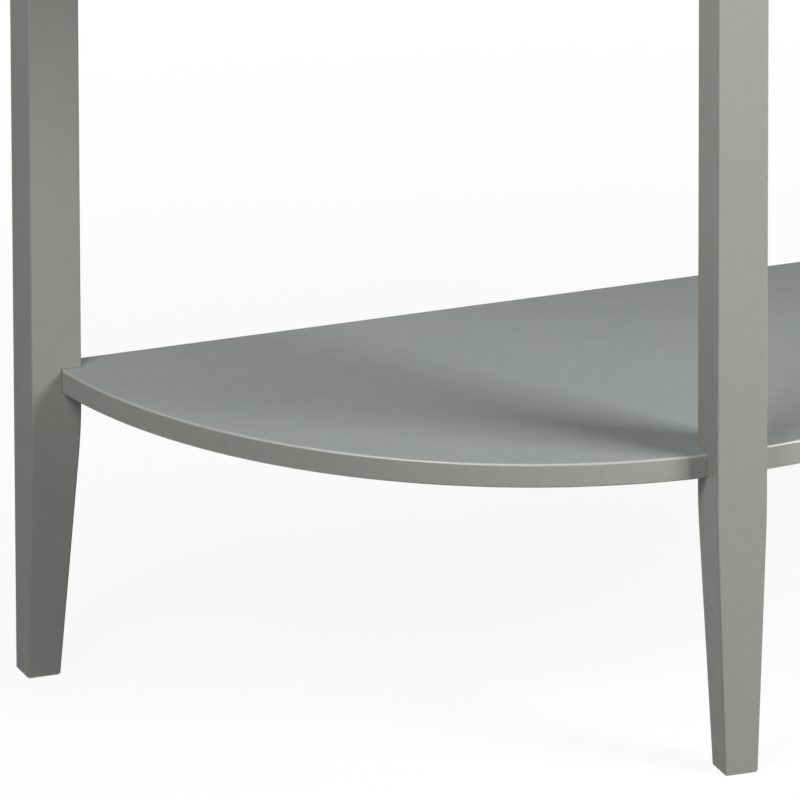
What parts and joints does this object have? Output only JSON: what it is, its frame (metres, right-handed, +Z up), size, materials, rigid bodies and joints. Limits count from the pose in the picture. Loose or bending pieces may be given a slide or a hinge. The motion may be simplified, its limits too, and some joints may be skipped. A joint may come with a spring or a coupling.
{
  "type": "demilune table",
  "caption": "Half-round side table in grey paint: a half-round top on a bent apron, square tapered legs and a half-round lower shelf let into the legs.",
  "frame": {"origin": "on the floor, under the middle of the table top's bounding box", "axes": "+X to the right along the straight back edge, +Y towards the wall, +Z up"},
  "size_m": [0.844, 0.422, 0.76],
  "materials": {
    "paint": "satin grey paint on wood",
    "bare_wood": "sawn, unfinished",
    "zinc": "zinc plated"
  },
  "bodies": {
    "root": {"table_top": "paint", "lower_shelf": "paint", "leg_front": "paint", "leg_rear_left": "paint", "leg_rear_right": "paint", "apron_left": "paint", "apron_right": "paint", "back_rail": "paint", "saddle_block": "bare_wood", "corner_block_left": "bare_wood", "corner_block_right": "bare_wood", "glue_block_left": "bare_wood", "glue_block_right": "bare_wood", "glue_block_back": "bare_wood", "hanger_bolts": "zinc", "washers": "zinc", "nuts": "zinc", "top_screws": "zinc", "shelf_screws": "zinc"}
  },
  "joints": []
}
